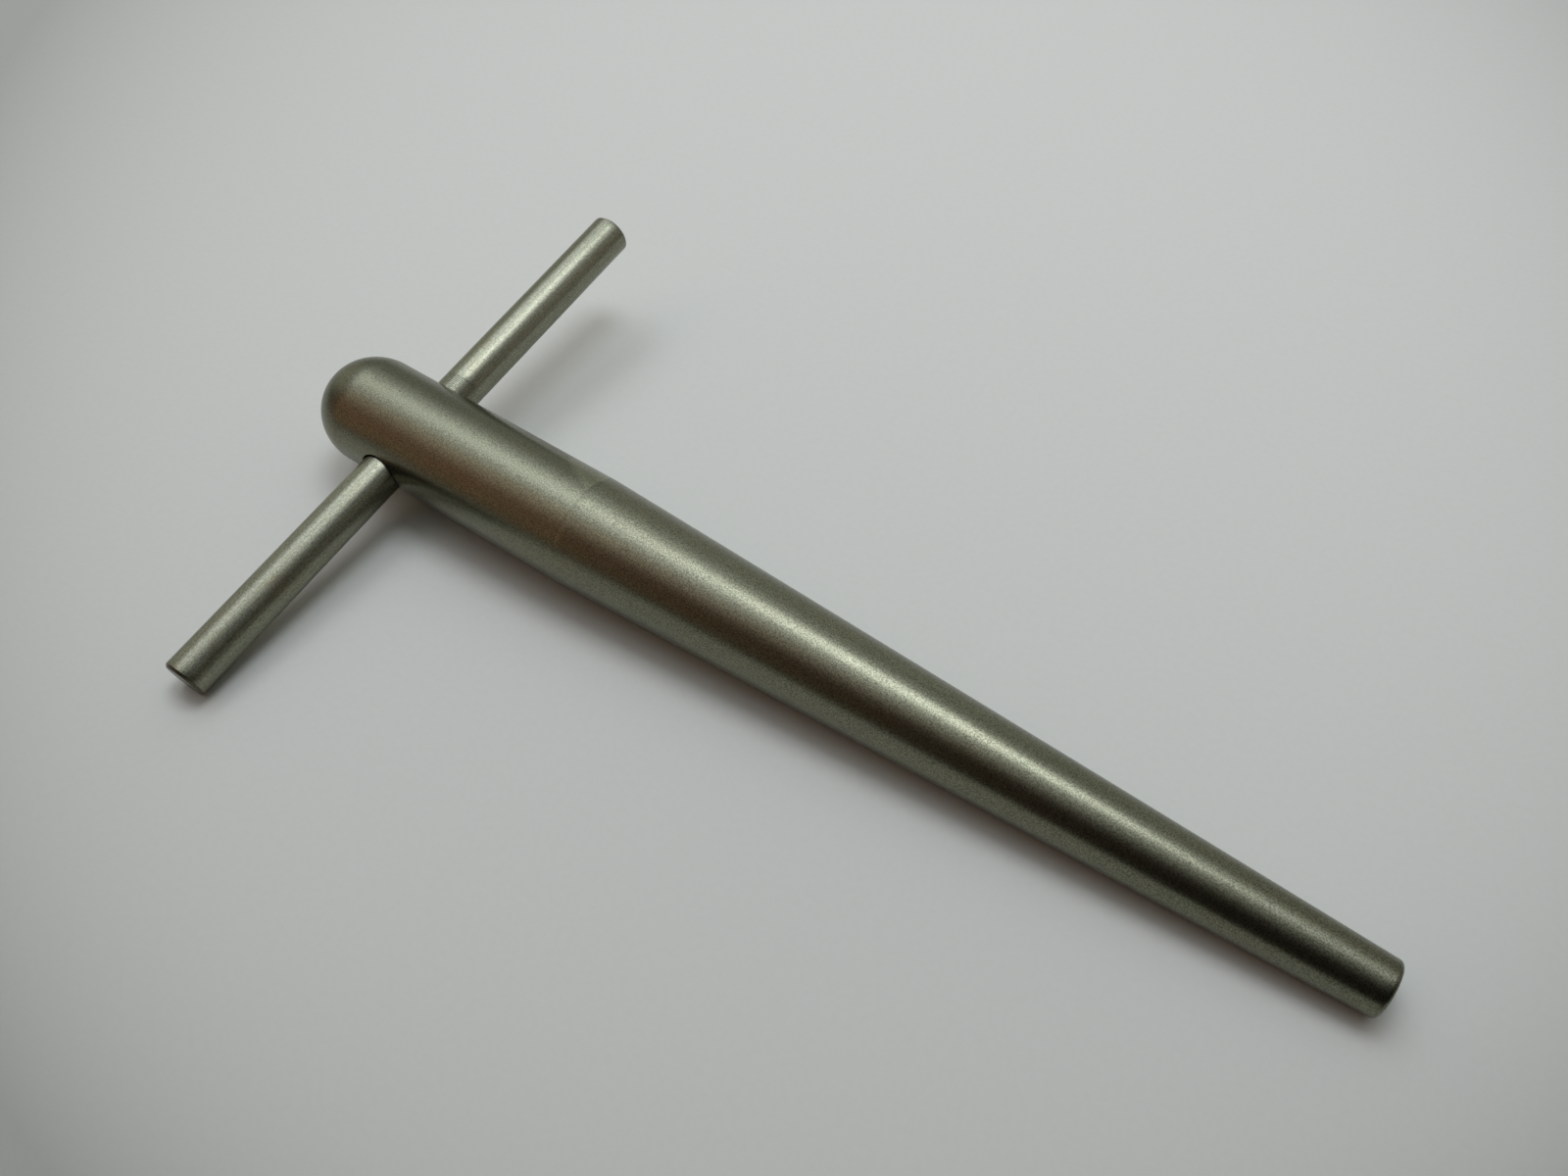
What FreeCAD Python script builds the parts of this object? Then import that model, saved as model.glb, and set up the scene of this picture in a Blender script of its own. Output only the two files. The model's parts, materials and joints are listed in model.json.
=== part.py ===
import FreeCAD, Part
import math
import os

import Sketcher

# Ring mandrel with a tommy bar: a solid turned steel mandrel with a domed head, and a plain
# round bar that slides through a cross bore in the head. Millimetres.
#
# Both pieces are drawn in one local frame. Its origin is the dome's tip, its X axis is the
# mandrel's axis towards the small end, and its Y axis is the bar's axis. The finished tool then
# lies on a flat surface: the line of the taper and the low end of the bar both touch z = 0.

V = FreeCAD.Vector

# Sketcher's numbers for an edge's ends and centre, the horizontal axis and the origin.
FIRST, LAST, CENTRE = 1, 2, 3
X_AXIS = -1
ORIGIN = (-1, 1)

# The driving dimensions: cell, alias, value, and what it is.
SIZES = [
    ("head_dia", 25.0, "diameter of the domed head and its straight shank"),
    ("shank_end", 73.5, "from the dome's tip to where the taper starts"),
    ("overall_length", 248.0, "from the dome's tip to the flat small end"),
    ("tip_dia", 11.2, "diameter of the taper at the small end"),
    ("tip_round", 1.1, "radius of the small end's rounded edge"),
    ("bore_dia", 10.0, "cross bore through the head"),
    ("bore_place", 24.4, "from the dome's tip to the bore's axis"),
    ("mouth_break", 0.2, "edge break round each mouth of the bore"),
    ("mark_width", 0.2, "width of the tool mark where the taper starts"),
    ("mark_depth", 0.03, "depth of that tool mark"),
    ("bar_dia", 9.6, "diameter of the tommy bar"),
    ("bar_length", 144.0, "length of the tommy bar"),
    ("bar_chamfer", 0.6, "chamfer on each end of the bar"),
    ("bar_shift", -0.1, "bar's middle from the mandrel's axis, towards its raised end"),
    ("bore_gap", 0.03, "least gap between bar and bore, where the bar lies in it"),
    ("band_start", -11.0, "ringed band on the bar, from the bar's middle"),
    ("ring_pitch", 0.45, "spacing of the turned rings in the band"),
    ("ring_count", 60, "number of turned rings in the band"),
    ("ring_width", 0.47, "width of one ring's groove at the surface, so that neighbours meet"),
    ("ring_depth", 0.04, "depth of one ring's groove"),
]


def make_sheet(doc):
    """The spreadsheet of driving dimensions, one row each: name, value, meaning."""
    sheet = doc.addObject("Spreadsheet::Sheet", "sizes")
    for row, (alias, value, meaning) in enumerate(SIZES, start=1):
        sheet.set(f"A{row}", alias)
        sheet.set(f"B{row}", str(value))
        sheet.set(f"C{row}", meaning)
        sheet.setAlias(f"B{row}", alias)
    doc.recompute()
    return sheet


def sketch_in(body, name, plane_role):
    """An empty sketch on one of the body's own origin planes."""
    plane = next(f for f in body.Origin.OriginFeatures if f.Role == plane_role)
    sketch = body.newObject("Sketcher::SketchObject", name)
    sketch.AttachmentSupport = (plane, [""])
    sketch.MapMode = "FlatFace"
    return sketch


def drive(sketch, name, expression, kind, *where):
    """Adds a dimension to the sketch and binds it to the spreadsheet."""
    value = sketch.evalExpression(expression)
    index = sketch.addConstraint(Sketcher.Constraint(kind, *where, value))
    sketch.renameConstraint(index, name)
    sketch.setExpression(f"Constraints.{name}", expression)


def draw_v_cut(sketch, along, surface, middle, width, depth):
    """A V whose point is depth below a turned surface and which is width wide at the surface.

    along is X or Y, the sketch axis that the piece is turned about. surface is the piece's radius
    and middle the place along that axis. They, width and depth are spreadsheet expressions.
    """
    outward = "Y" if along == "X" else "X"
    corners = [
        (f"{middle} - {width}", f"{surface} + {depth}"),
        (middle, f"{surface} - {depth}"),
        (f"{middle} + {width}", f"{surface} + {depth}"),
    ]
    points = []
    for along_expression, out_expression in corners:
        pair = (sketch.evalExpression(along_expression), sketch.evalExpression(out_expression))
        points.append(V(*(pair if along == "X" else pair[::-1]), 0))
    for i in range(3):
        sketch.addGeometry(Part.LineSegment(points[i], points[(i + 1) % 3]), False)
    for i in range(3):
        sketch.addConstraint(Sketcher.Constraint("Coincident", i, LAST, (i + 1) % 3, FIRST))
    for i, (along_expression, out_expression) in enumerate(corners):
        drive(sketch, f"place_{i}", along_expression, f"Distance{along}", *ORIGIN, i, FIRST)
        drive(sketch, f"radius_{i}", out_expression, f"Distance{outward}", *ORIGIN, i, FIRST)


def round_edges(feature, radius, place, axis):
    """Names of the feature's circular edges of that radius whose centre is at place on axis."""
    names = []
    for number, edge in enumerate(feature.Shape.Edges, start=1):
        if edge.Degenerated or not isinstance(edge.Curve, Part.Circle):
            continue
        circle = edge.Curve
        if abs(circle.Radius - radius) < 1e-6 and abs(circle.Center[axis] - place) < 1e-6:
            names.append(f"Edge{number}")
    return names


def make_mandrel(doc, size):
    """The solid turned body: dome, straight shank, taper, rounded small end, cross bore."""
    body = doc.addObject("PartDesign::Body", "mandrel")
    body.Label = "mandrel"
    radius = size.head_dia / 2
    tip_radius = size.tip_dia / 2

    # Half outline in the XZ plane: the dome's quarter arc, then four straight edges.
    outline = sketch_in(body, "mandrel_outline", "XZ_Plane")
    dome = Part.Circle(V(radius, 0, 0), V(0, 0, 1), radius)
    outline.addGeometry(Part.ArcOfCircle(dome, math.pi / 2, math.pi), False)
    corners = [
        V(radius, radius, 0),
        V(size.shank_end, radius, 0),
        V(size.overall_length, tip_radius, 0),
        V(size.overall_length, 0, 0),
        V(0, 0, 0),
    ]
    for start, end in zip(corners, corners[1:]):
        outline.addGeometry(Part.LineSegment(start, end), False)
    arc, shank, taper, end_face, axis_line = range(5)
    for rule in (
        ("Coincident", arc, FIRST, shank, FIRST),
        ("Coincident", shank, LAST, taper, FIRST),
        ("Coincident", taper, LAST, end_face, FIRST),
        ("Coincident", end_face, LAST, axis_line, FIRST),
        ("Coincident", axis_line, LAST, arc, LAST),
        ("Coincident", axis_line, LAST, *ORIGIN),
        ("PointOnObject", arc, CENTRE, X_AXIS),
        ("Vertical", arc, CENTRE, arc, FIRST),
        ("Horizontal", shank),
        ("Horizontal", axis_line),
        ("Vertical", end_face),
    ):
        outline.addConstraint(Sketcher.Constraint(*rule))
    for name, expression, kind, *where in (
        ("head_radius", "sizes.head_dia / 2", "DistanceY", *ORIGIN, shank, FIRST),
        ("shank_end", "sizes.shank_end", "DistanceX", *ORIGIN, shank, LAST),
        ("overall_length", "sizes.overall_length", "DistanceX", *ORIGIN, end_face, FIRST),
        ("tip_radius", "sizes.tip_dia / 2", "DistanceY", *ORIGIN, taper, LAST),
    ):
        drive(outline, name, expression, kind, *where)
    turned = body.newObject("PartDesign::Revolution", "turned_body")
    turned.Profile = outline
    turned.ReferenceAxis = (outline, ["H_Axis"])
    turned.Angle = 360
    doc.recompute()

    small_end = body.newObject("PartDesign::Fillet", "small_end_round")
    small_end.Base = (turned, round_edges(turned, tip_radius, size.overall_length, 0))
    small_end.setExpression("Radius", "sizes.tip_round")
    doc.recompute()

    # The shallow tool mark runs round the body just before the taper.
    mark = sketch_in(body, "tool_mark_outline", "XZ_Plane")
    mark_middle = "sizes.shank_end - sizes.mark_width / 2"
    draw_v_cut(
        mark, "X", "sizes.head_dia / 2", mark_middle, "sizes.mark_width", "sizes.mark_depth"
    )
    tool_mark = body.newObject("PartDesign::Groove", "tool_mark")
    tool_mark.Profile = mark
    tool_mark.ReferenceAxis = (mark, ["H_Axis"])
    tool_mark.Angle = 360
    doc.recompute()

    bore_circle = sketch_in(body, "cross_bore_circle", "XZ_Plane")
    bore_middle = V(size.bore_place, 0, 0)
    bore_circle.addGeometry(Part.Circle(bore_middle, V(0, 0, 1), size.bore_dia / 2), False)
    bore_circle.addConstraint(Sketcher.Constraint("PointOnObject", 0, CENTRE, X_AXIS))
    drive(bore_circle, "bore_place", "sizes.bore_place", "DistanceX", *ORIGIN, 0, CENTRE)
    drive(bore_circle, "bore_radius", "sizes.bore_dia / 2", "Radius", 0)
    cross_bore = body.newObject("PartDesign::Pocket", "cross_bore")
    cross_bore.Profile = bore_circle
    cross_bore.SideType = "Symmetric"
    cross_bore.setExpression("Length", "sizes.head_dia * 1.2")
    doc.recompute()

    # The mouths are the only edges of this body that are neither straight nor round.
    mouths = [
        f"Edge{number}"
        for number, edge in enumerate(cross_bore.Shape.Edges, start=1)
        if not edge.Degenerated and isinstance(edge.Curve, Part.BSplineCurve)
    ]
    edge_break = body.newObject("PartDesign::Chamfer", "mouth_edge_break")
    edge_break.Base = (cross_bore, mouths)
    edge_break.setExpression("Size", "sizes.mouth_break")
    body.Tip = edge_break
    doc.recompute()
    return body


def make_bar(doc, size):
    """The tommy bar: plain round bar, chamfered ends, fine turned rings round its middle."""
    body = doc.addObject("PartDesign::Body", "tommy_bar")
    body.Label = "tommy_bar"
    radius = size.bar_dia / 2

    section = sketch_in(body, "bar_section", "XZ_Plane")
    section.addGeometry(Part.Circle(V(0, 0, 0), V(0, 0, 1), radius), False)
    section.addConstraint(Sketcher.Constraint("Coincident", 0, CENTRE, *ORIGIN))
    drive(section, "bar_radius", "sizes.bar_dia / 2", "Radius", 0)
    rod = body.newObject("PartDesign::Pad", "rod")
    rod.Profile = section
    rod.SideType = "Symmetric"
    rod.setExpression("Length", "sizes.bar_length")
    doc.recompute()

    half = size.bar_length / 2
    ends = body.newObject("PartDesign::Chamfer", "end_chamfers")
    ends.Base = (rod, round_edges(rod, radius, half, 1) + round_edges(rod, radius, -half, 1))
    ends.setExpression("Size", "sizes.bar_chamfer")
    doc.recompute()

    # One V-shaped ring at the band's start, repeated along the bar.
    ring_outline = sketch_in(body, "ring_outline", "XY_Plane")
    draw_v_cut(
        ring_outline,
        "Y",
        "sizes.bar_dia / 2",
        "sizes.band_start",
        "sizes.ring_width",
        "sizes.ring_depth",
    )
    ring = body.newObject("PartDesign::Groove", "ring")
    ring.Profile = ring_outline
    ring.ReferenceAxis = (ring_outline, ["V_Axis"])
    ring.Angle = 360
    doc.recompute()

    rings = body.newObject("PartDesign::LinearPattern", "rings")
    rings.Originals = [ring]
    rings.Direction = (ring_outline, ["V_Axis"])
    rings.Mode = "Extent"
    rings.setExpression("Length", "sizes.ring_pitch * (sizes.ring_count - 1)")
    rings.setExpression("Occurrences", "sizes.ring_count")
    body.Tip = rings
    doc.recompute()
    return body


def lying_pose(size):
    """Rotation and translation that lay the tool on z = 0, with the taper start over the origin.

    The taper's half angle tips the axis so that the taper's lowest line is level. The roll about
    the axis then lowers one end of the bar until the edge of its chamfer touches z = 0.
    """
    radius = size.head_dia / 2
    tip = math.atan2(radius - size.tip_dia / 2, size.overall_length - size.shank_end)
    bore_height = radius * math.cos(tip) + (size.shank_end - size.bore_place) * math.sin(tip)
    drop = (size.bore_dia - size.bar_dia) / 2 - size.bore_gap
    bar_radius = size.bar_dia / 2
    low_arm = size.bar_length / 2 - size.bar_shift - size.bar_chamfer
    slope = 0.0
    for _ in range(20):
        height = bore_height - drop * math.cos(slope)
        slope = math.asin(height / math.hypot(low_arm, bar_radius)) - math.atan2(
            bar_radius, low_arm
        )
    roll = math.asin(math.sin(slope) / math.cos(tip))
    turn = FreeCAD.Rotation(V(0, 1, 0), math.degrees(tip)).multiply(
        FreeCAD.Rotation(V(1, 0, 0), math.degrees(roll))
    )
    taper_start = V(0, 0, radius * math.cos(tip))
    dome_tip = taper_start - turn.multVec(V(size.shank_end, 0, 0))
    bar_middle = dome_tip + turn.multVec(V(size.bore_place, size.bar_shift, -drop))
    return turn, dome_tip, bar_middle


def place(bodies, turn, corners):
    """Places the bodies, then moves them together so that their joint box is centred on x and y."""
    for body, corner in zip(bodies, corners):
        body.Placement = FreeCAD.Placement(corner, turn)
    boxes = [body.Shape.optimalBoundingBox(False, False) for body in bodies]
    middle = V(
        (min(b.XMin for b in boxes) + max(b.XMax for b in boxes)) / 2,
        (min(b.YMin for b in boxes) + max(b.YMax for b in boxes)) / 2,
        0,
    )
    for body, corner in zip(bodies, corners):
        body.Placement = FreeCAD.Placement(corner - middle, turn)


def check(doc, bodies):
    """Stops on a failed feature, a broken shape, or a cut that took nothing away."""
    for thing in doc.Objects:
        if "Invalid" in thing.State or "Error" in thing.State:
            raise RuntimeError(f"{thing.Name} failed: {thing.State}")
    for body in bodies:
        if body.Shape.isNull() or not body.Shape.isValid() or len(body.Shape.Solids) != 1:
            raise RuntimeError(f"{body.Label} is not one valid solid")
    for before, after in (
        ("turned_body", "small_end_round"),
        ("small_end_round", "tool_mark"),
        ("tool_mark", "cross_bore"),
        ("cross_bore", "mouth_edge_break"),
        ("rod", "end_chamfers"),
        ("end_chamfers", "ring"),
        ("ring", "rings"),
    ):
        removed = doc.getObject(before).Shape.Volume - doc.getObject(after).Shape.Volume
        if removed <= 0:
            raise RuntimeError(f"{after} took no metal away")
        print(f"{after}: {removed:.3f} mm3 removed")


def main():
    doc = FreeCAD.newDocument("ring_mandrel")
    size = make_sheet(doc)
    mandrel = make_mandrel(doc, size)
    bar = make_bar(doc, size)
    turn, dome_tip, bar_middle = lying_pose(size)
    place([mandrel, bar], turn, [dome_tip, bar_middle])
    doc.recompute()
    check(doc, [mandrel, bar])
    os.makedirs("parts", exist_ok=True)
    for body in (mandrel, bar):
        body.Shape.exportStep(f"parts/{body.Label}.step")
        box = body.Shape.optimalBoundingBox(False, False)
        print(
            f"{body.Label}: volume {body.Shape.Volume:.1f} mm3,"
            f" x {box.XMin:.3f} to {box.XMax:.3f},"
            f" y {box.YMin:.3f} to {box.YMax:.3f}, z {box.ZMin:.3f} to {box.ZMax:.3f}"
        )


main()
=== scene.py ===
import json
import math

import bmesh
import bpy
import numpy as np
from mathutils import Matrix, Vector


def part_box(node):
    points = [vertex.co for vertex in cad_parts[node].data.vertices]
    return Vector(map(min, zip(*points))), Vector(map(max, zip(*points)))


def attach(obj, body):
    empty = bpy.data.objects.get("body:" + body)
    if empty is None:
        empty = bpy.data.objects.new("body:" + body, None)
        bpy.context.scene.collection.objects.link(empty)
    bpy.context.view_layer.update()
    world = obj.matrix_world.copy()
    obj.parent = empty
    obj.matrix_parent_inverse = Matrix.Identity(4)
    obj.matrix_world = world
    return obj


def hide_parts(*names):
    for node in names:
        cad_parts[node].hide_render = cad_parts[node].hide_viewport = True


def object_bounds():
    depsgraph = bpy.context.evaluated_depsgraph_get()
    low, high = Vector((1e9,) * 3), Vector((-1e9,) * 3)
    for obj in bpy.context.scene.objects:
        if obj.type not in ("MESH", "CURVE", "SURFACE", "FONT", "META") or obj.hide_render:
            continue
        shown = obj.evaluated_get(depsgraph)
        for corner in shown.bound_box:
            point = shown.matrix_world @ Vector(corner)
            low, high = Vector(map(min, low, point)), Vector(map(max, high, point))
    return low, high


# A steel ring mandrel with a tommy bar, lying on a pale table. Metres, in the CAD model's frame.
#
# The file has five parts: the sizes and places, the two meshes, their materials, the stage with
# its light, and the camera. Both pieces are drawn with X along the mandrel and Y along the bar,
# the mandrel from its dome's tip and the bar from its own middle. They are then laid in the row
# frame with what the record says about the mounts and the joint.

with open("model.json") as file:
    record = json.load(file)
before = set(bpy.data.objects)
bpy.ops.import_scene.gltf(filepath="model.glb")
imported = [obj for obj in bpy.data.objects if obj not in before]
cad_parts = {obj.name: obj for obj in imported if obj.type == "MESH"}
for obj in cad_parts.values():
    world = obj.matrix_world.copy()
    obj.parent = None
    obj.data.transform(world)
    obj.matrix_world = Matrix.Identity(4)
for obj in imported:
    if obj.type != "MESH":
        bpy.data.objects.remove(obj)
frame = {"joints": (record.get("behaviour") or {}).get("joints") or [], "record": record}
CAD_BOX = [list(corner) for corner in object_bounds()]
MM = 0.001

# The mandrel: the same shape as its CAD node, with rounded edges.
HEAD_RADIUS = 12.5 * MM
SHANK_END = 73.5 * MM
LENGTH = 248.0 * MM
TIP_RADIUS = 5.6 * MM
TIP_ROUND = 1.1 * MM
BORE_RADIUS = 5.0 * MM
BORE_PLACE = 24.4 * MM
MOUTH_ROUND = 0.2 * MM
MARK_WIDTH = 0.2 * MM
MARK_DEPTH = 0.02 * MM

# The tommy bar, measured from its own middle.
BAR_RADIUS = 4.8 * MM
BAR_HALF = 72.0 * MM
BAR_CHAMFER = 0.6 * MM
CHAMFER_ROUND = 0.12 * MM
BAND = (-11.0 * MM, 15.5 * MM)
RING_PITCH = 0.45 * MM
RING_DEPTH = 0.04 * MM

# How finely the meshes are divided. A window in the mandrel's grid, PATCH_LENGTH long and
# PATCH_HALF columns to each side, holds each mouth of the cross bore.
AROUND = 160
DOME_STEPS = 40
ROW_GAP = 1.5 * MM
END_GAP = 0.9 * MM
END_HUB = 0.7 * MM
FILLET_STEPS = 10
PATCH_HALF = AROUND // 8
PATCH_LENGTH = 20.0 * MM
MOUTH_RINGS = 10
MOUTH_CROWDING = 1.4
ROUND_STEPS = 4
BORE_STEPS = 24
BAR_AROUND = 112
BAR_ROW_GAP = 1.6 * MM
RING_STEPS = 6
SHARP_ANGLE = math.radians(32)

# One unit of UV is a millimetre along a piece, and around it on a radius of UV_RADIUS.
UV_RADIUS = 10

# The camera looks at VIEW_AIM on the table from VIEW_DISTANCE away.
VIEW_AZIMUTH = 34.925
VIEW_ELEVATION = 52.96
VIEW_ROLL = 1.302
VIEW_DISTANCE = 0.27995
VIEW_AIM = Vector((-0.01295, 0.0183, 0.0))
SENSOR_WIDTH = 36.0
LENS = 29.546


# ---------------------------------------------------------------------------------------------
# Where the pieces lie
# ---------------------------------------------------------------------------------------------

def lying_frame():
    """The mandrel's own axes and its dome's tip, in the row frame, from the record."""
    mounts = {mount["name"]: mount for mount in frame["record"]["mounts"]}
    slide = frame["joints"][0]
    along = Vector(mounts["ring_taper"]["axis"]).normalized()
    up = along.cross(Vector(slide["axis"])).normalized()
    across = up.cross(along)
    tip = Vector(mounts["small_end_face"]["pos_m"]) - along * LENGTH
    return along, across, up, tip


ALONG, ACROSS, UP, DOME_TIP = lying_frame()
TURN = Matrix((ALONG, ACROSS, UP)).transposed()
BAR_MIDDLE = sum(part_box("tommy_bar"), Vector()) / 2


# ---------------------------------------------------------------------------------------------
# Meshes
# ---------------------------------------------------------------------------------------------

class Skin:
    """Points and faces under construction, with each point's place along and around its piece."""

    def __init__(self):
        self.points = []
        self.places = []
        self.faces = []

    def point(self, x, y, z, along, angle):
        self.points.append((x, y, z))
        self.places.append((along, angle))
        return len(self.points) - 1

    def strip(self, one, other, closed=True):
        """Quads between two rows of points."""
        count = len(one)
        for j in range(count if closed else count - 1):
            k = (j + 1) % count
            self.faces.append((one[j], one[k], other[k], other[j]))

    def fan(self, row, centre):
        for j in range(len(row)):
            self.faces.append((row[j], row[(j + 1) % len(row)], centre))


def arc(centre, radius, start, end, steps):
    """Points on an arc of an outline, from angle start to angle end in degrees."""
    angles = np.radians(np.linspace(start, end, steps + 1))
    return [(centre[0] + radius * math.cos(a), centre[1] + radius * math.sin(a)) for a in angles]


def run(start, end, step):
    """Points from start towards end, evenly spaced and no further apart than step. It leaves
    out the end."""
    count = max(1, math.ceil(math.dist(start, end) / step - 1e-9))
    return [tuple(np.array(start) + (np.array(end) - np.array(start)) * i / count)
            for i in range(count)]


def rounded_corner(before, corner, after, radius, steps=3):
    """Points that round a corner of an outline with an arc of that radius."""
    corner = np.array(corner)
    back = np.array(before) - corner
    ahead = np.array(after) - corner
    back /= np.linalg.norm(back)
    ahead /= np.linalg.norm(ahead)
    half = math.acos(np.clip(back @ ahead, -1, 1)) / 2
    centre = corner + (back + ahead) / np.linalg.norm(back + ahead) * radius / math.sin(half)
    first = corner + back * radius / math.tan(half) - centre
    last = corner + ahead * radius / math.tan(half) - centre
    turn = math.atan2(first[0] * last[1] - first[1] * last[0], first @ last)
    points = []
    for i in range(steps + 1):
        a = turn * i / steps
        c, s = math.cos(a), math.sin(a)
        points.append((centre[0] + c * first[0] - s * first[1],
                       centre[1] + s * first[0] + c * first[1]))
    return points


def lengths(outline):
    """Distance along an outline to each of its points."""
    total = [0.0]
    for one, other in zip(outline, outline[1:]):
        total.append(total[-1] + math.dist(one, other))
    return total


def finish_mesh(name, skin, middle, body, node):
    """Makes the skin an object in the row frame that stands for its CAD node."""
    mesh = bpy.data.meshes.new(name)
    turned = [TURN @ Vector(point) + middle for point in skin.points]
    mesh.from_pydata(turned, [], skin.faces)
    mesh.validate()
    mesh.update()
    # UV: u runs around the piece and v along it.
    layer = mesh.uv_layers.new(name="turning")
    for face in mesh.polygons:
        angles = [skin.places[v][1] for v in face.vertices]
        top = max(angles)
        for loop, vertex, angle in zip(face.loop_indices, face.vertices, angles):
            if top - angle > math.pi:
                angle += 2 * math.pi
            layer.data[loop].uv = (angle * UV_RADIUS, skin.places[vertex][0] / MM)
    mesh.shade_smooth()
    mesh.set_sharp_from_angle(angle=SHARP_ANGLE)
    piece = bpy.data.objects.new(name, mesh)
    bpy.context.scene.collection.objects.link(piece)
    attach(piece, body)
    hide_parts(node)
    return piece


def mandrel_outline():
    """The mandrel's half outline, from the dome's tip to the middle of the small end."""
    half_angle = math.atan2(HEAD_RADIUS - TIP_RADIUS, LENGTH - SHANK_END)
    mark = SHANK_END - MARK_WIDTH / 2
    patch_start = BORE_PLACE - PATCH_LENGTH / 2
    patch_end = BORE_PLACE + PATCH_LENGTH / 2
    patch_step = PATCH_LENGTH / PATCH_HALF / 2
    outline = arc((HEAD_RADIUS, 0), HEAD_RADIUS, 180, 90, DOME_STEPS)[:-1]
    outline += run((HEAD_RADIUS, HEAD_RADIUS), (patch_start, HEAD_RADIUS), ROW_GAP / 2)
    outline += run((patch_start, HEAD_RADIUS), (patch_end, HEAD_RADIUS), patch_step)
    outline += run((patch_end, HEAD_RADIUS), (mark - MARK_WIDTH, HEAD_RADIUS), ROW_GAP)
    # The shoulder's mark is a shallow groove with sloping sides.
    outline += [
        (mark - MARK_WIDTH, HEAD_RADIUS),
        (mark - MARK_WIDTH / 2, HEAD_RADIUS),
        (mark - MARK_WIDTH / 12, HEAD_RADIUS - MARK_DEPTH),
        (mark + MARK_WIDTH / 12, HEAD_RADIUS - MARK_DEPTH),
    ]
    # The fillet's centre is TIP_ROUND inside both the taper and the end face.
    centre = (
        LENGTH - TIP_ROUND,
        TIP_RADIUS - TIP_ROUND * (1 - math.sin(half_angle)) / math.cos(half_angle),
    )
    fillet = arc(centre, TIP_ROUND, 90 - math.degrees(half_angle), 0, FILLET_STEPS)
    outline += run((SHANK_END, HEAD_RADIUS), fillet[0], ROW_GAP)
    outline += fillet
    outline += run((LENGTH, centre[1]), (LENGTH, 0), END_GAP)[1:]
    outline.append((LENGTH, 0))
    return outline


def mouth_patch(skin, grid, first, last, start_along, side):
    """Fills the window in the lathe's grid round one mouth of the cross bore.

    side is 1 for the mouth on +Y and -1 for the one on -Y. Returns the mouth's innermost ring
    and the angle of each of its points round the bore.
    """
    def column(j):
        return (j if side > 0 else AROUND // 2 - j) % AROUND

    rows = list(range(first, last + 1))
    columns = list(range(-PATCH_HALF, PATCH_HALF + 1))
    border = [(i, columns[0]) for i in rows[:-1]]
    border += [(rows[-1], j) for j in columns[:-1]]
    border += [(i, columns[-1]) for i in reversed(rows[1:])]
    border += [(rows[0], j) for j in reversed(columns[1:])]
    outer = [grid[i][column(j)] for i, j in border]
    step = PATCH_LENGTH / (last - first)
    places = []
    for i, j in border:
        x = (i - first) * step - PATCH_LENGTH / 2
        angle = 2 * math.pi * j / AROUND
        places.append((x, angle, math.atan2(HEAD_RADIUS * angle, x)))

    def surface_point(x, angle):
        y = HEAD_RADIUS * math.cos(angle) * side
        around = angle if side > 0 else math.pi - angle
        return skin.point(BORE_PLACE + x, y, HEAD_RADIUS * math.sin(angle),
                          start_along + x, around % (2 * math.pi))

    def bore_point(radius, depth, t):
        z = radius * math.sin(t)
        y = (math.sqrt(HEAD_RADIUS**2 - z**2) - depth) * side
        return skin.point(BORE_PLACE + radius * math.cos(t), y, z, start_along + depth, t)

    # Rings from the window's border in to the bore's lip, closer together near the lip.
    previous = outer
    lip = BORE_RADIUS + MOUTH_ROUND
    for ring in range(MOUTH_RINGS - 1, -1, -1):
        share = (ring / MOUTH_RINGS) ** MOUTH_CROWDING
        row = []
        for x, angle, t in places:
            lip_x = lip * math.cos(t)
            lip_angle = math.asin(lip * math.sin(t) / HEAD_RADIUS)
            row.append(surface_point(lip_x + (x - lip_x) * share,
                                     lip_angle + (angle - lip_angle) * share))
        skin.strip(previous, row)
        previous = row
    # The lip's rounded edge.
    for step_number in range(1, ROUND_STEPS + 1):
        a = math.pi / 2 * step_number / ROUND_STEPS
        radius = BORE_RADIUS + MOUTH_ROUND * (1 - math.sin(a))
        depth = MOUTH_ROUND * (1 - math.cos(a))
        row = [bore_point(radius, depth, t) for _, _, t in places]
        skin.strip(previous, row)
        previous = row
    return previous, [t for _, _, t in places]


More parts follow.
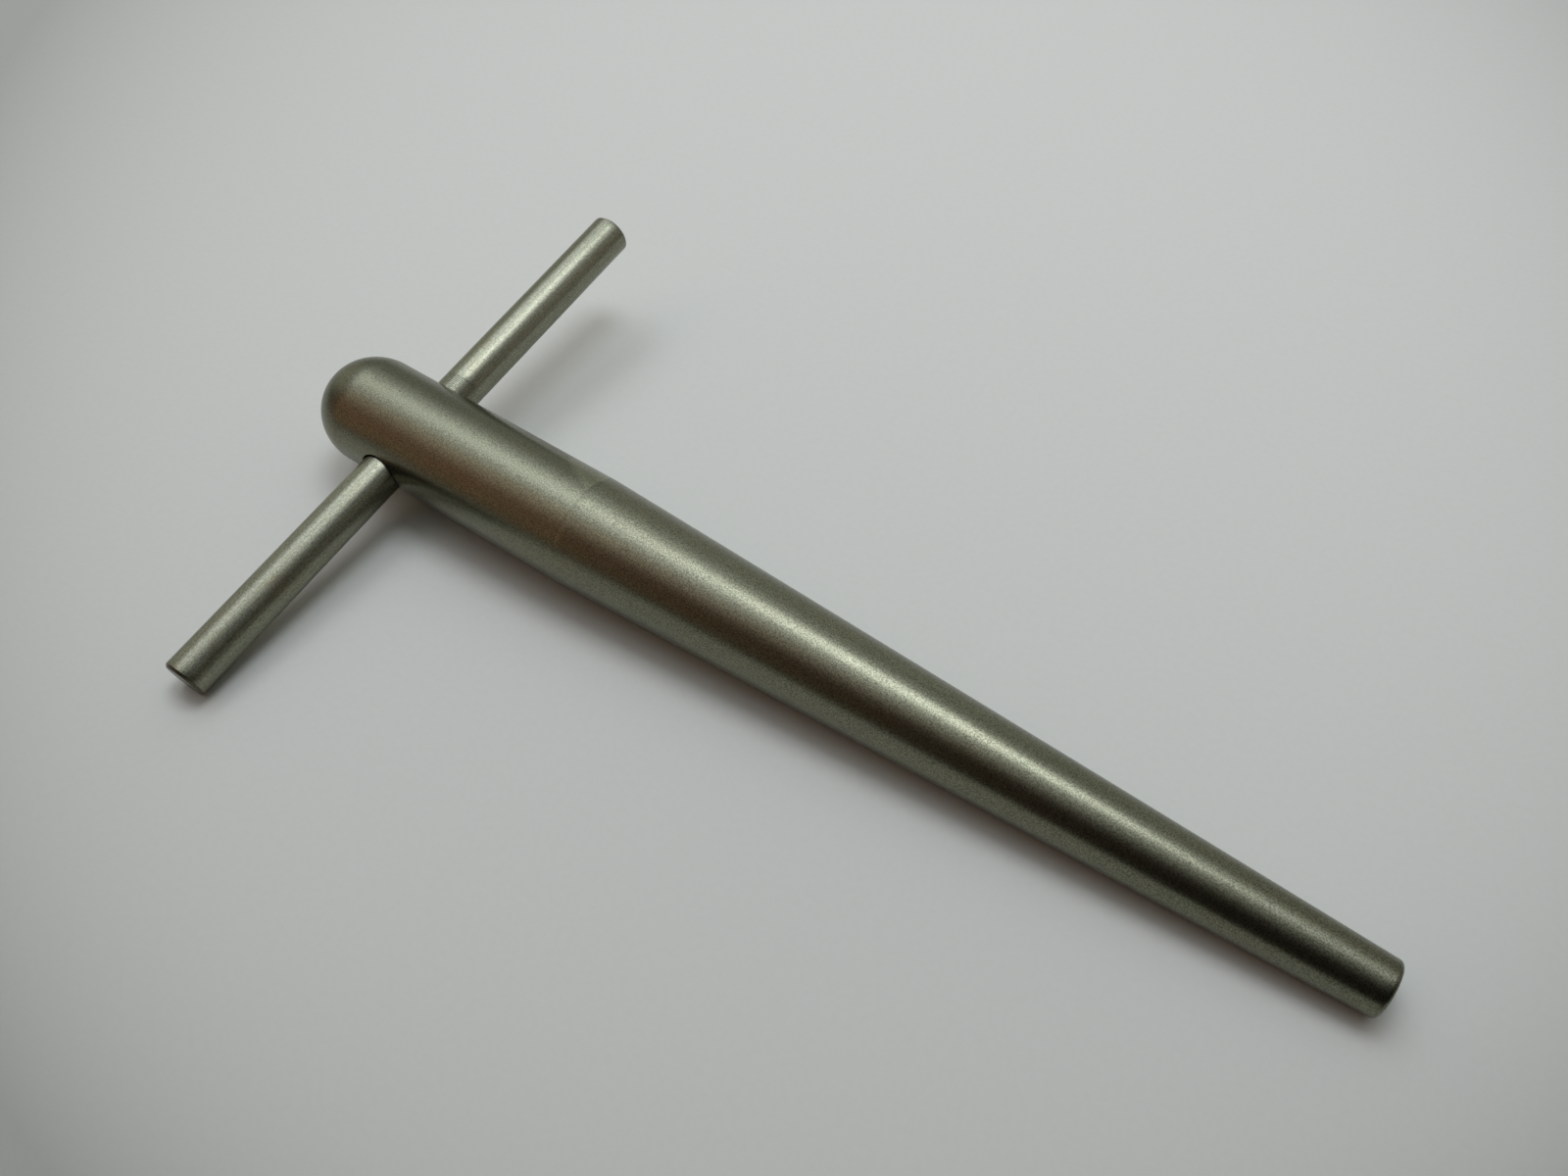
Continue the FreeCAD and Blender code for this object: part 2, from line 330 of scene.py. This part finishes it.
def make_mandrel():
    """The mandrel: a lathe grid, with a window round each mouth of the cross bore."""
    skin = Skin()
    outline = mandrel_outline()
    along = lengths(outline)
    first = min(range(len(outline)),
                key=lambda i: abs(outline[i][0] - (BORE_PLACE - PATCH_LENGTH / 2)))
    last = first + 2 * PATCH_HALF
    grid = []
    for i, (x, radius) in enumerate(outline[1:-1], start=1):
        row = []
        for j in range(AROUND):
            offset = min(abs(j), abs(j - AROUND // 2), abs(j - AROUND))
            if first < i < last and offset < PATCH_HALF:
                row.append(None)
                continue
            angle = 2 * math.pi * j / AROUND
            row.append(skin.point(x, radius * math.cos(angle), radius * math.sin(angle),
                                  along[i], angle))
        grid.append(row)
    grid.insert(0, None)
    for i in range(1, len(grid) - 1):
        for j in range(AROUND):
            k = (j + 1) % AROUND
            middle = min(abs(j + 0.5), abs(j + 0.5 - AROUND / 2), abs(j + 0.5 - AROUND))
            if first <= i < last and middle < PATCH_HALF:
                continue
            skin.faces.append((grid[i][j], grid[i][k], grid[i + 1][k], grid[i + 1][j]))
    skin.fan(grid[1], skin.point(0, 0, 0, 0, 0))
    skin.fan(grid[-1], skin.point(LENGTH, 0, 0, along[-1], 0))

    near, angles = mouth_patch(skin, grid, first, last, along[first] + PATCH_LENGTH / 2, 1)
    far, _ = mouth_patch(skin, grid, first, last, along[first] + PATCH_LENGTH / 2, -1)
    # The bore's wall, from the near mouth to the far one.
    previous = near
    for step in range(1, BORE_STEPS):
        row = []
        for t in angles:
            y_mouth = math.sqrt(HEAD_RADIUS**2 - (BORE_RADIUS * math.sin(t)) ** 2) - MOUTH_ROUND
            row.append(skin.point(BORE_PLACE + BORE_RADIUS * math.cos(t),
                                  y_mouth * (1 - 2 * step / BORE_STEPS),
                                  BORE_RADIUS * math.sin(t), along[first] + step * MM, t))
        skin.strip(previous, row)
        previous = row
    skin.strip(previous, far)
    return finish_mesh("mandrel_body", skin, DOME_TIP, "mandrel", "mandrel")


def bar_outline():
    """The bar's half outline from its low end to its raised end, as (place, radius)."""
    flat = BAR_RADIUS - BAR_CHAMFER
    low = [(-BAR_HALF, 0.0)]
    low += run((-BAR_HALF, END_HUB), (-BAR_HALF, flat - 2 * CHAMFER_ROUND), END_GAP)
    corners = [
        (-BAR_HALF, 0),
        (-BAR_HALF, flat),
        (-BAR_HALF + BAR_CHAMFER, BAR_RADIUS),
        (0, BAR_RADIUS),
    ]
    for before, corner, after in zip(corners, corners[1:], corners[2:]):
        low += rounded_corner(before, corner, after, CHAMFER_ROUND)
    high = [(-place, radius) for place, radius in reversed(low)]
    band_low, band_high = BAND[0] - RING_PITCH / 2, BAND[1] + RING_PITCH / 2
    outline = low + run(low[-1], (band_low, BAR_RADIUS), BAR_ROW_GAP)[1:]
    count = round((band_high - band_low) / RING_PITCH)
    for i in range(count * RING_STEPS + 1):
        place = band_low + i * RING_PITCH / RING_STEPS
        # The groove is a V with a slightly soft bottom and crest.
        phase = 2 * math.pi * i / RING_STEPS
        depth = RING_DEPTH * (0.5 - 0.44 * math.cos(phase) - 0.06 * math.cos(3 * phase))
        outline.append((place, BAR_RADIUS - depth))
    outline += run((band_high, BAR_RADIUS), high[0], BAR_ROW_GAP)[1:] + high
    return outline


def make_bar():
    """The tommy bar: one lathe grid about the bar's axis."""
    skin = Skin()
    outline = bar_outline()
    along = lengths(outline)
    rows = []
    for (place, radius), distance in list(zip(outline, along))[1:-1]:
        row = []
        for j in range(BAR_AROUND):
            angle = 2 * math.pi * j / BAR_AROUND
            row.append(skin.point(radius * math.cos(angle), place, radius * math.sin(angle),
                                  distance, angle))
        rows.append(row)
    for one, other in zip(rows, rows[1:]):
        skin.strip(one, other)
    skin.fan(rows[0], skin.point(0, outline[0][0], 0, 0, 0))
    skin.fan(rows[-1], skin.point(0, outline[-1][0], 0, along[-1], 0))
    return finish_mesh("tommy_bar_rod", skin, BAR_MIDDLE, "tommy_bar", "tommy_bar")


def face_outwards(piece):
    """Turns every face of a closed piece outwards."""
    mesh = bmesh.new()
    mesh.from_mesh(piece.data)
    bmesh.ops.recalc_face_normals(mesh, faces=mesh.faces)
    mesh.to_mesh(piece.data)
    mesh.free()


# ---------------------------------------------------------------------------------------------
# Materials
# ---------------------------------------------------------------------------------------------

class Nodes:
    """A material's node tree, built a node at a time."""

    def __init__(self, name):
        self.material = bpy.data.materials.new(name)
        self.material.use_nodes = True
        self.tree = self.material.node_tree
        self.shader = self.tree.nodes["Principled BSDF"]

    def add(self, kind, inputs=(), **settings):
        """A node with its settings, and each input as a value or another node's output."""
        node = self.tree.nodes.new(kind)
        for name, value in settings.items():
            setattr(node, name, value)
        for key, value in dict(inputs).items():
            self.feed(node.inputs[key], value)
        return node

    def feed(self, socket, value):
        if isinstance(value, bpy.types.NodeSocket):
            self.tree.links.new(value, socket)
        else:
            socket.default_value = value

    def local(self, middle):
        """Coordinates in the piece's own frame, in metres: X along the mandrel, Y along the bar."""
        place = self.add("ShaderNodeTexCoord").outputs["Object"]
        return self.add("ShaderNodeMapping", {
            "Vector": place,
            "Location": middle,
            "Rotation": TURN.to_euler("XYZ"),
        }, vector_type="TEXTURE").outputs[0]

    def noise(self, place, stretch, detail=2.0, roughness=0.5):
        """Noise from 0 to 1 whose grains are 1/stretch metres long on each axis."""
        scaled = self.add("ShaderNodeVectorMath", {0: place, 1: stretch}, operation="MULTIPLY")
        return self.add("ShaderNodeTexNoise", {
            "Vector": scaled.outputs[0], "Scale": 1.0, "Detail": detail, "Roughness": roughness,
        }).outputs["Fac"]

    def span(self, value, low, high, from_low=0.3, from_high=0.7):
        """The value, stretched from one range to another."""
        return self.add("ShaderNodeMapRange", {
            "Value": value, "From Min": from_low, "From Max": from_high,
            "To Min": low, "To Max": high,
        }).outputs[0]

    def math(self, operation, *inputs):
        return self.add("ShaderNodeMath", enumerate(inputs), operation=operation).outputs[0]

    def scale_tone(self, tone, factor):
        """The colour, made lighter or darker by a factor."""
        node = self.add("ShaderNodeVectorMath", {0: tone}, operation="SCALE")
        self.feed(node.inputs["Scale"], factor)
        return node.outputs[0]

    def blend(self, share, one, other):
        """A mix of two colours, which are the node's sockets 6 and 7."""
        node = self.add("ShaderNodeMix", data_type="RGBA", blend_type="MIX")
        self.feed(node.inputs[0], share)
        self.feed(node.inputs[6], one)
        self.feed(node.inputs[7], other)
        return node.outputs[2]

    def bump(self, height, distance, before=None):
        """A bump of that height in metres, laid over another bump's normals."""
        inputs = {"Height": height, "Distance": distance, "Strength": 1.0}
        if before is not None:
            inputs["Normal"] = before
        return self.add("ShaderNodeBump", inputs).outputs[0]


# The mandrel's colours: its darkest and palest metal, and the warm patches on the shank.
STEEL_TONES = ((0.164, 0.166, 0.117, 1), (0.184, 0.185, 0.131, 1))
WARM_TONE = (0.2, 0.163, 0.1, 1)
# How deep its fine turned rings and its grain are in the bump.
STEEL_RINGS = 0.0006 * MM
STEEL_GRAIN = 0.008 * MM
# The painted light on the shank, a paler wedge where its surface catches more light: the angle it
# faces, from +Y upwards, where it starts, how deep into the shank's side it reaches at the shoulder
# and how much lighter it is painted.
WEDGE_ANGLE = math.radians(31.7)
WEDGE_START = 61.5 * MM
WEDGE_DEPTH = 3.7 * MM
WEDGE_PAINTED_LIGHT = 0.38


def mandrel_steel():
    """Dull turned steel: speckled, most of all on the taper, with faint rings and a mottle."""
    n = Nodes("mandrel_steel")
    place = n.local(DOME_TIP)
    split = n.add("ShaderNodeSeparateXYZ", {0: place}).outputs
    rings = n.noise(place, (4200, 90, 90), detail=2)
    speckle = n.noise(place, (3600, 3600, 3600), detail=1.5, roughness=0.6)
    mottle = n.noise(place, (22, 55, 55), detail=4, roughness=0.6)
    tone = n.blend(n.span(mottle, 0.0, 1.0), *STEEL_TONES)
    # The taper is rougher to the eye than the shank and the dome.
    on_taper = n.span(split["X"], 0.85, 1.0, SHANK_END - 12 * MM, SHANK_END + 12 * MM)
    # Faint warm patches on the shank.
    warm = n.span(n.noise(place, (38, 110, 110), detail=3), 0.0, 0.3, 0.5, 0.68)
    warm = n.math("MULTIPLY", warm, n.span(split["X"], 1.0, 0.25, 66 * MM, 90 * MM))
    tone = n.blend(warm, tone, WARM_TONE)
    light = n.math("MULTIPLY", n.span(speckle, -0.4, 0.4, 0.35, 0.65), on_taper)
    tone = n.scale_tone(tone, n.math("ADD", light, 1.0))
    # Painted light: a paler wedge on the far side, over the shank's last few millimetres, where the
    # surface catches more light. It widens towards the shoulder and stops there.
    facing = n.math("ADD", n.math("MULTIPLY", split["Y"], math.cos(WEDGE_ANGLE)),
                    n.math("MULTIPLY", split["Z"], math.sin(WEDGE_ANGLE)))
    depth = n.math("SUBTRACT", HEAD_RADIUS, facing)
    reach = n.span(split["X"], 0.0, WEDGE_DEPTH, WEDGE_START, SHANK_END)
    paler = n.span(n.math("SUBTRACT", reach, depth), 0.0, 1.0, 0.0, 0.5 * MM)
    ends = n.span(split["X"], 1.0, 0.0, SHANK_END - 0.1 * MM, SHANK_END)
    paler = n.math("MULTIPLY", paler, ends)
    tone = n.scale_tone(tone, n.math("MULTIPLY_ADD", paler, WEDGE_PAINTED_LIGHT, 1.0))
    n.feed(n.shader.inputs["Base Color"], tone)
    rough = n.math("ADD", n.span(mottle, 0.0, 0.03), n.span(rings, 0.26, 0.31))
    n.feed(n.shader.inputs["Roughness"], rough)
    n.shader.inputs["Metallic"].default_value = 1.0
    n.shader.inputs["Anisotropic"].default_value = 0.4
    n.shader.inputs["Anisotropic Rotation"].default_value = 0.25
    tangent = n.add("ShaderNodeTangent", direction_type="UV_MAP", uv_map="turning")
    n.feed(n.shader.inputs["Tangent"], tangent.outputs[0])
    ringed = n.bump(rings, STEEL_RINGS)
    grained = n.bump(speckle, STEEL_GRAIN, ringed)
    n.feed(n.shader.inputs["Normal"], grained)
    return n.material


# The bar's colours: its darkest and palest metal, its stains, and the painted shade on its ends.
BAR_TONES = ((0.207, 0.209, 0.154, 1), (0.251, 0.253, 0.189, 1))
STAIN_TONE = (0.195, 0.145, 0.08, 1)
BAR_END_SHADE = (0.05, 0.036, 0.018, 1)
# How deep its streaks and its grain are in the bump.
BAR_STREAKS = 0.006 * MM
BAR_GRAIN = 0.005 * MM


def bar_steel():
    """Bright drawn bar: fine streaks along it, faint warm stains, turned rings in the middle with
    painted shade in their grooves and painted glints on their crests, and painted brown shade on
    its ends."""
    n = Nodes("bar_steel")
    place = n.local(BAR_MIDDLE)
    split = n.add("ShaderNodeSeparateXYZ", {0: place}).outputs
    streaks = n.noise(place, (4200, 110, 4200), detail=3, roughness=0.65)
    wide_streaks = n.noise(place, (900, 16, 900), detail=2)
    speckle = n.noise(place, (3600, 2600, 3600), detail=1.5, roughness=0.6)
    stains = n.noise(place, (190, 60, 190), detail=4, roughness=0.6)
    tone = n.blend(n.span(wide_streaks, 0.0, 1.0), *BAR_TONES)
    light = n.math("ADD", n.span(streaks, -0.14, 0.14, 0.32, 0.68),
                   n.span(speckle, 0.72, 1.28, 0.35, 0.65))
    tone = n.scale_tone(tone, light)
    tone = n.blend(n.span(stains, 0.0, 0.4, 0.58, 0.75), tone, STAIN_TONE)
    # Painted shade and glints along the band: the grooves are painted dark and the crests painted
    # bright.
    past_start = n.math("SUBTRACT", split["Y"], BAND[0] - RING_PITCH / 2)
    turns = n.math("MULTIPLY", past_start, 2 * math.pi / RING_PITCH)
    painted_ring_shading = n.span(n.math("COSINE", turns), -0.35, 0.2, -1.0, 1.0)
    edge = 0.6 * MM
    in_band = n.math("MULTIPLY", n.span(split["Y"], 0.0, 1.0, BAND[0] - edge, BAND[0]),
                     n.span(split["Y"], 1.0, 0.0, BAND[1], BAND[1] + edge))
    tone = n.scale_tone(tone, n.math("MULTIPLY_ADD", painted_ring_shading, in_band, 1.0))
    # Painted shade: the chamfers and end faces are darkened brownish, for the dark reflection they
    # catch.
    far = n.math("ABSOLUTE", split["Y"])
    chamfer = BAR_HALF - BAR_CHAMFER
    painted_end_shade = n.span(far, 0.0, 0.75, chamfer - 0.1 * MM, chamfer + 0.05 * MM)
    tone = n.blend(painted_end_shade, tone, BAR_END_SHADE)
    n.feed(n.shader.inputs["Base Color"], tone)
    n.feed(n.shader.inputs["Roughness"], n.span(wide_streaks, 0.28, 0.34))
    n.shader.inputs["Metallic"].default_value = 1.0
    n.shader.inputs["Anisotropic"].default_value = 0.5
    tangent = n.add("ShaderNodeTangent", direction_type="UV_MAP", uv_map="turning")
    n.feed(n.shader.inputs["Tangent"], tangent.outputs[0])
    streaked = n.bump(streaks, BAR_STREAKS)
    grained = n.bump(speckle, BAR_GRAIN, streaked)
    n.feed(n.shader.inputs["Normal"], grained)
    return n.material


# Painted light and shade on the paper: it is painted palest behind, for light falling off, and
# painted darker in the picture's corners, for vignette shade, the left ones most.
# PAPER_SLOPE is how much paler it is behind than in the middle. CORNER_SHIFT is how far right of
# the middle the corners are measured from, and CORNER_MOST is how much darker they may get.
PAPER_TONES = ((0.824, 0.832, 0.78, 1), (0.842, 0.85, 0.798, 1))
PAPER_SLOPE = 0.18
CORNER_SHIFT = 0.09
CORNER_SHADE = 0.09
CORNER_MOST = 0.38
NEAREST = 0.05


def table_paper():
    """Matt off-white paper: a barely visible fleck, with painted light palest behind and painted
    shade far out.
    """
    n = Nodes("table_paper")
    place = n.add("ShaderNodeTexCoord").outputs["Object"]
    fleck = n.noise(place, (700, 700, 700), detail=3)
    tone = n.blend(n.span(fleck, 0.0, 1.0), *PAPER_TONES)
    # Where a place on the paper falls in the picture: u across and v up, 1 at the picture's side.
    flat = n.add("ShaderNodeMapping", {
        "Vector": place, "Location": VIEW_AIM, "Rotation": (0, 0, math.radians(VIEW_AZIMUTH)),
    }, vector_type="TEXTURE").outputs[0]
    split = n.add("ShaderNodeSeparateXYZ", {0: flat}).outputs
    tilt = math.radians(VIEW_ELEVATION)
    away = n.math("ADD", n.math("MULTIPLY", split["Y"], math.cos(tilt)), VIEW_DISTANCE)
    reach = n.math("MULTIPLY", n.math("MAXIMUM", away, NEAREST), SENSOR_WIDTH / 2 / LENS)
    u = n.math("DIVIDE", split["X"], reach)
    v = n.math("DIVIDE", n.math("MULTIPLY", split["Y"], math.sin(tilt)), reach)
    # Painted light: paler behind, darker in front.
    painted_falloff = n.span(v, 1.0 - PAPER_SLOPE, 1.0 + PAPER_SLOPE, -1.0, 1.0)
    # Painted shade, darker towards the picture's corners and beyond.
    off = n.math("SUBTRACT", u, CORNER_SHIFT)
    square = n.math("ADD", n.math("MULTIPLY", off, off), n.math("MULTIPLY", v, v))
    corner = n.math("MULTIPLY", n.math("POWER", square, 3.0), CORNER_SHADE)
    corner = n.math("SUBTRACT", 1.0, n.math("MINIMUM", corner, CORNER_MOST))
    shade = n.math("MULTIPLY", painted_falloff, corner)
    n.feed(n.shader.inputs["Base Color"], n.scale_tone(tone, shade))
    n.shader.inputs["Roughness"].default_value = 0.9
    n.shader.inputs["Specular IOR Level"].default_value = 0.2
    return n.material


# ---------------------------------------------------------------------------------------------
# Stage and light
# ---------------------------------------------------------------------------------------------

TABLE_HALF = 3.0
# Where the lamp is, in degrees and metres from the origin, its diameter and its power in watts.
LIGHT_AZIMUTH = 6.0
LIGHT_ELEVATION = 74.5
LIGHT_DISTANCE = 1.0
LIGHT_SIZE = 0.44
LIGHT_POWER = 1.85
LIGHT_COLOUR = (0.94, 1.0, 1.08)

# What the metal mirrors besides the lamp: soft round patches of light on the walls and ceiling.
# Each is (azimuth, elevation, width in degrees, colour at its middle).
ROOM_PATCHES = {
    "overhead": (0, 90, 10, (0.5, 0.54, 0.5)),
    "overhead, in front": (168, 76, 11, (0.48, 0.5, 0.53)),
    "ceiling left of the lamp": (78, 74, 9, (1.1, 1.15, 1.35)),
    "ceiling right of the lamp": (-47, 68, 10, (0.9, 0.95, 1.05)),
    "left ceiling": (50, 48, 10, (0.6, 0.63, 0.7)),
    "left of the lamp": (66, 60, 9, (2.3, 2.45, 2.65)),
    "far left of the lamp": (102, 56, 8, (0.7, 0.74, 0.78)),
    "back, half way up": (33, 50, 14, (0.6, 0.64, 0.66)),
    "back right ceiling": (-22, 54, 10, (0.55, 0.56, 0.55)),
    "front left ceiling": (130, 54, 11, (0.88, 0.7, 0.6)),
    "brown wall": (136, 32, 12, (0.19, 0.075, 0.055)),
    "back wall": (10, 12, 24, (0.51, 0.53, 0.48)),
    "left wall": (75, 11, 15, (0.53, 0.53, 0.41)),
    "left wall, higher": (93, 27, 9, (0.4, 0.4, 0.38)),
    "right wall": (-60, 18, 17, (0.3, 0.275, 0.23)),
    "right wall, higher": (-60, 38, 10, (0.2, 0.2, 0.19)),
    "front left wall": (140, 12, 15, (0.4, 0.27, 0.18)),
}
ROOM_DARK = (0.012, 0.012, 0.011)
BACKDROP = (0.47, 0.48, 0.47)
# The paper gets only this share of the room's light, so that its shadows are deep enough.
ROOM_ON_PAPER = 0.7


def direction(azimuth, elevation):
    """The direction of a point seen at that azimuth, from +Y towards -X, and elevation."""
    a, e = math.radians(azimuth), math.radians(elevation)
    return Vector((-math.sin(a) * math.cos(e), math.cos(a) * math.cos(e), math.sin(e)))


def make_table():
    """A wide sheet of paper at the height of the CAD model's lowest point."""
    low = CAD_BOX[0][2]
    mesh = bpy.data.meshes.new("table")
    h = TABLE_HALF
    mesh.from_pydata([(-h, -h, low), (h, -h, low), (h, h, low), (-h, h, low)], [], [(0, 1, 2, 3)])
    table = bpy.data.objects.new("table", mesh)
    bpy.context.scene.collection.objects.link(table)
    table.data.materials.append(table_paper())


def make_lights():
    """One round soft lamp, high up and a little behind."""
    data = bpy.data.lights.new("soft_light", "AREA")
    data.shape = "DISK"
    data.size = LIGHT_SIZE
    data.energy = LIGHT_POWER
    data.color = LIGHT_COLOUR
    lamp = bpy.data.objects.new("soft_light", data)
    towards = direction(LIGHT_AZIMUTH, LIGHT_ELEVATION)
    lamp.location = towards * LIGHT_DISTANCE
    lamp.rotation_euler = towards.to_track_quat("Z", "Y").to_euler()
    bpy.context.scene.collection.objects.link(lamp)


def make_room():
    """The room round the table. The camera sees a plain pale backdrop instead of it."""
    world = bpy.data.worlds.new("room")
    bpy.context.scene.world = world
    world.use_nodes = True
    tree = world.node_tree
    nodes, links = tree.nodes, tree.links
    nodes.clear()

    def step(kind, operation, *inputs):
        """A maths node fed by values or by other nodes' outputs."""
        node = nodes.new(kind)
        node.operation = operation
        for socket, value in zip(node.inputs, inputs):
            if isinstance(value, bpy.types.NodeSocket):
                links.new(value, socket)
            else:
                socket.default_value = value
        return node.outputs["Value"] if operation == "DOT_PRODUCT" else node.outputs[0]

    ray = nodes.new("ShaderNodeTexCoord").outputs["Generated"]
    total = step("ShaderNodeVectorMath", "ADD", (0.0, 0.0, 0.0), ROOM_DARK)
    for azimuth, elevation, width, colour in ROOM_PATCHES.values():
        # A patch fades as exp(-(angle / width)^2 / 2).
        sharpness = 1 / math.radians(width) ** 2
        facing = step("ShaderNodeVectorMath", "DOT_PRODUCT", ray, direction(azimuth, elevation))
        power = step("ShaderNodeMath", "MULTIPLY_ADD", facing, sharpness, -sharpness)
        fade = step("ShaderNodeMath", "EXPONENT", power)
        total = step("ShaderNodeVectorMath", "MULTIPLY_ADD", colour, fade, total)

    room = nodes.new("ShaderNodeBackground")
    links.new(total, room.inputs["Color"])
    rays = nodes.new("ShaderNodeLightPath").outputs
    less = ROOM_ON_PAPER - 1
    strength = step("ShaderNodeMath", "MULTIPLY_ADD", rays["Is Diffuse Ray"], less, 1.0)
    links.new(strength, room.inputs["Strength"])
    plain = nodes.new("ShaderNodeBackground")
    plain.inputs["Color"].default_value = (*BACKDROP, 1)
    mix = nodes.new("ShaderNodeMixShader")
    links.new(rays["Is Camera Ray"], mix.inputs[0])
    links.new(room.outputs[0], mix.inputs[1])
    links.new(plain.outputs[0], mix.inputs[2])
    links.new(mix.outputs[0], nodes.new("ShaderNodeOutputWorld").inputs["Surface"])


# ---------------------------------------------------------------------------------------------
# Camera
# ---------------------------------------------------------------------------------------------

def make_camera():
    """The photo's camera, from the VIEW values at the top."""
    data = bpy.data.cameras.new("camera")
    data.sensor_width = SENSOR_WIDTH
    data.lens = LENS
    data.clip_start = 0.01
    camera = bpy.data.objects.new("camera", data)
    bpy.context.scene.collection.objects.link(camera)
    ahead = direction(VIEW_AZIMUTH, -VIEW_ELEVATION)
    level = Vector((math.cos(math.radians(VIEW_AZIMUTH)), math.sin(math.radians(VIEW_AZIMUTH)), 0))
    below = ahead.cross(level)
    roll = math.radians(VIEW_ROLL)
    right = level * math.cos(roll) + below * math.sin(roll)
    down = below * math.cos(roll) - level * math.sin(roll)
    turn = Matrix((right, -down, -ahead)).transposed()
    camera.matrix_world = Matrix.Translation(VIEW_AIM - ahead * VIEW_DISTANCE) @ turn.to_4x4()
    bpy.context.scene.camera = camera


mandrel = make_mandrel()
face_outwards(mandrel)
mandrel.data.materials.append(mandrel_steel())
bar = make_bar()
face_outwards(bar)
bar.data.materials.append(bar_steel())
make_table()
make_lights()
make_room()
make_camera()
bpy.context.scene.view_settings.view_transform = "Standard"
